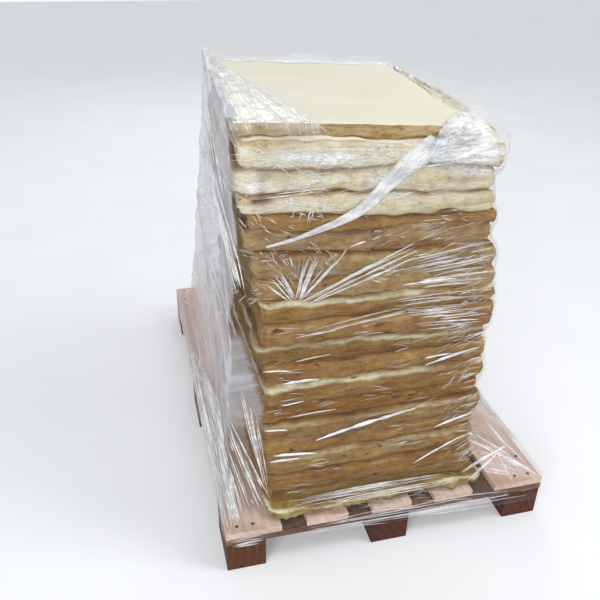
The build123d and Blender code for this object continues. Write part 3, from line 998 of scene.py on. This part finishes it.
def make_rope(material):
    """The gathered band of film across the near side: strands on a soft core, narrower to its lower end."""
    hits = [film_hit(pixel) for pixel in spaced(ROPE_PIXELS, ROPE_STATIONS)]
    path, normals = (np.array(column) for column in zip(*hits))
    for _ in range(8):
        path[1:-1] = (path[:-2] + path[1:-1] + path[2:]) / 3
        normals[1:-1] = normals[:-2] + normals[1:-1] + normals[2:]
        normals = unit(normals)
    across = unit(np.cross(np.gradient(path, axis=0), normals))
    share = np.linspace(0, 1, ROPE_STATIONS)
    half = np.interp(share, np.linspace(0, 1, len(ROPE_HALF_WIDTHS)), ROPE_HALF_WIDTHS)
    rng = np.random.default_rng(74)

    def placed(side, rise):
        """Points of the band at a share of its half width and at a height over its core."""
        dome = 0.42 * half * np.sqrt(np.maximum(1 - side ** 2, 0)) + rise
        return path + across * (side * half)[:, None] + normals * dome[:, None]

    core = np.stack([placed(np.full(ROPE_STATIONS, side), 0.0004) for side in np.linspace(-1, 1, 13)], 1)
    core += normals[:, None] * (0.0012 * noise(core, 0.014, 75))[..., None]
    grids, haze = [core], [0.62]
    for middle in np.linspace(-0.92, 0.92, ROPE_STRANDS):
        side = middle + 0.14 * np.sin(2 * pi * (share * rng.uniform(0.5, 2.2) + rng.uniform()))
        side = np.clip(side, -1.05, 1.05)
        width = rng.uniform(0.05, 0.16) * (0.7 + 0.3 * np.sin(2 * pi * (share * 3 + rng.uniform())))
        rise = rng.uniform(0.06, 0.20) * half
        grids.append(np.stack([placed(side + width * a, rise * b + 0.0006) for a, b in STRAND_PROFILE], 1))
        haze.append(rng.uniform(0.60, 0.98))
    return joined("film_rope", grids, material, haze)


def make_tuft(material):
    """The crumpled tuft that stands at the far left corner of the top."""
    columns = np.arange(-TUFT_BEFORE, TUFT_AFTER)
    grid = np.repeat(film_points[None, FILM_ROWS - 3, HIDDEN_LEFT + columns], TUFT_ROWS, 0)
    share = np.linspace(0, 1, TUFT_ROWS)[:, None]
    grid[..., 2] += (0.010 + 0.026 * np.exp(-(columns / 6.0) ** 2)) * share
    sway = np.stack([noise(grid, 0.03, 81), noise(grid, 0.03, 82), np.zeros(grid.shape[:2])], -1)
    grid += 0.006 * share[..., None] * sway
    return grid_object("film_tuft", grid, False, material, haze=np.full(grid.shape[:2], 0.45))


# Nails: radius and height from the deck, and places from the middle of each crossing of a deck board and a
# stringer board, outwards and to the row's end
NAIL_PROFILE = ((0.0006, 0.0005), (0.0030, 0.0005), (0.0040, 0.0002), (0.0043, -0.0004), (0.0040, -0.0012))
SIDE_NAILS = ((0.037, 0.050), (0.000, 0.050), (0.040, -0.014))
MIDDLE_NAILS = ((-0.024, 0.038), (0.022, -0.034))
NAIL_SIDES = 14


def make_nails(material):
    """Nail heads, flush with the deck, over each block."""
    turn = np.linspace(0, 2 * pi, NAIL_SIDES, endpoint=False)
    boards = sorted(name for name in nodes if name.startswith("deck_board"))
    rows = sorted(name for name in nodes if name.startswith("stringer_board"))
    points, faces = [], []
    for board in boards:
        (left, _, _), (right, _, deck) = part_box(board)
        for row in rows:
            (_, near, _), (_, far, _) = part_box(row)
            outward = 1 if left + right > 0 else -1
            end = -1 if far < 0 else 1
            for x, y in SIDE_NAILS if board in (boards[0], boards[-1]) else MIDDLE_NAILS:
                middle = ((left + right) / 2 + outward * x, (near + far) / 2 + end * y)
                start = len(points) * len(NAIL_PROFILE) * NAIL_SIDES
                points.append([(middle[0] + r * cos(t), middle[1] + r * sin(t), deck + z)
                               for r, z in NAIL_PROFILE for t in turn])
                faces += (grid_faces(len(NAIL_PROFILE), NAIL_SIDES, True)[:, ::-1] + start).tolist()
                faces.append(list(range(start, start + NAIL_SIDES)))
    return mesh_object("nails", np.array(points), faces, material)


# Stage: lamps by name, place, aim, size and power

WORLD_LIGHT = 0.58
FLOOR_SIZE = 12
LAMPS = (
    ("key", (1.9, -1.6, 3.2), (0, 0, 0.4), 1.2, 46),
    ("fill", (-2.4, -3.4, 1.9), (0, 0, 0.5), 1.5, 66),
    ("back", (0.5, 3.6, 3.0), (0, 0, 0.6), 2.0, 28),
)


def floor_material():
    """Pale matt floor, whiter to the eye than the light that falls on it."""
    material, n = new_material("floor")
    colour = n.ramp(n.noise(3, 2), (0.3, (0.74, 0.75, 0.76)), (0.7, (0.78, 0.79, 0.80)))
    matt = n.add("BsdfPrincipled", {"Base Color": colour, "Roughness": 0.75, "Specular IOR Level": 0.2})
    pale = n.add("Emission", {"Color": (0.95, 0.97, 1.0), "Strength": 0.22})
    none = n.add("Emission", {"Strength": 0.0})
    glow = n.add("MixShader", {0: n.seen_ray(), 1: none, 2: pale})
    n.surface(n.add("AddShader", {0: matt, 1: glow}))
    return material


def make_stage():
    corners = [(x * FLOOR_SIZE, y * FLOOR_SIZE, 0) for x, y in CORNERS]
    mesh_object("floor", corners, [(0, 1, 2, 3)], floor_material())
    for name, place, aim, size, power in LAMPS:
        light = bpy.data.lights.new(name, "AREA")
        light.energy, light.size = power, size
        lamp = new_object(name, light)
        lamp.location = place
        lamp.rotation_euler = (Vector(aim) - Vector(place)).to_track_quat("-Z", "Y").to_euler()
    world = bpy.data.worlds.new("world")
    bpy.context.scene.world = world
    n = Nodes(world)
    light = n.add("Background", {"Color": (0.94, 0.96, 1.0), "Strength": WORLD_LIGHT})
    backdrop = n.add("Background", {"Color": (0.95, 0.96, 0.97), "Strength": 1.0})
    n.surface(n.add("MixShader", {0: n.seen_ray(), 1: light, 2: backdrop}), "OutputWorld")


make_camera()

# Load: the lowest slab is more lemon than the others
TINTS = ((1, 1, 1), (1.08, 1.04, 0.98), (0.88, 0.89, 0.98), (1.00, 0.93, 0.84))
LEMON = (0.90, 1.05, 1.08)
wools = [wool_material(f"wool_{kind}", 5 * kind, tint) for kind, tint in enumerate(TINTS + (LEMON,))]
crown = measure(f"slab_{SLABS}")
slabs = [make_slab(number, wools[-1] if number == 1 else wools[number % len(TINTS)])
         for number in range(1, SLABS + 1)]

clear_film = film_material("stretch_film", 0.02, 0.98, crinkle=1.0)
film_skin, film_points = make_film(slabs, clear_film)
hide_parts("stretch_film")
skin_normals = grid_normals(film_points, True)
film_tree = tree_of([film_skin] + slabs)

folded_film = film_material("folded_film", 0.12, 0.96)
rng = np.random.default_rng(17)
near_grids = [grid for bundle in NEAR_BUNDLES for grid in bundle_ribbons(bundle, rng)]
left_grids = [grid for bundle in LEFT_BUNDLES for grid in bundle_ribbons(bundle, rng)]
streaks = [ribbon(pixel_path(start, end, 0.01), width, 70 + i)
           for i, (start, end, width) in enumerate(STREAKS)]
# Milky haze of the folds: partly the folded film's own, partly painted highlight, brightest on the streaks
film_extras = [
    joined("film_folds_near", near_grids, folded_film, 0.62),
    joined("film_glints", glint_ribbons(rng), folded_film, 0.72),
    joined("film_streaks", streaks, folded_film, 0.90),
    joined("film_folds_left", left_grids, folded_film, 0.85),
    joined("film_folds_hidden", hidden_ribbons(rng), folded_film, 0.55),
    make_fan(film_material("fan_film", 0.05, 0.95, gloss=0.2, relief=0.35)),
    make_gather(film_material("gathered_film", 0.10, 0.99, gloss=0.6, relief=0.5)),
    make_rope(film_material("rope_film", 0.10, 0.99, gloss=0.8, relief=0.6)),
    make_tuft(folded_film),
]
for piece in [film_skin] + film_extras:
    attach(piece, "root")

# Pallet: pale and dark colour and the axes of the growth rings of each kind of wood
DECK_WOOD = (0.86, 0.68, 0.58), (0.66, 0.48, 0.39), (1, 0.10, 1)
# Stringers: brown wood darkened with painted shade, as they lie under the deck
SHADED_STRINGER_WOOD = (0.27, 0.15, 0.095), (0.15, 0.075, 0.045), (0.1, 1, 1)
# Blocks: their own reddish brown, darkened with painted shade under the pallet
SHADED_BLOCK_WOOD = (0.15, 0.050, 0.018), (0.065, 0.020, 0.008), (1, 0.12, 1)
SHADED_RED_WOOD = (0.13, 0.038, 0.017), (0.055, 0.015, 0.007), (1, 0.12, 1)
RED_BLOCKS = ("block_1_2", "block_1_3", "block_2_2", "block_3_1")
for seed, (name, thing) in enumerate(sorted(nodes.items())):
    if name.startswith("deck_board"):
        material = wood_material(f"deck_wood_{name[-1]}", seed, *DECK_WOOD)
    elif name.startswith("stringer_board"):
        material = wood_material(f"shaded_stringer_wood_{name[-1]}", seed, *SHADED_STRINGER_WOOD)
    elif name.startswith("block"):
        wood = SHADED_RED_WOOD if name in RED_BLOCKS else SHADED_BLOCK_WOOD
        material = wood_material(f"block_wood{name[5:]}", seed, *wood)
    else:
        continue
    thing.data.materials.clear()
    thing.data.materials.append(material)
nails = make_nails(steel_material())
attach(nails, "root")

make_stage()
scene = bpy.context.scene
scene.view_settings.view_transform = "Standard"
scene.cycles.transparent_max_bounces = 24
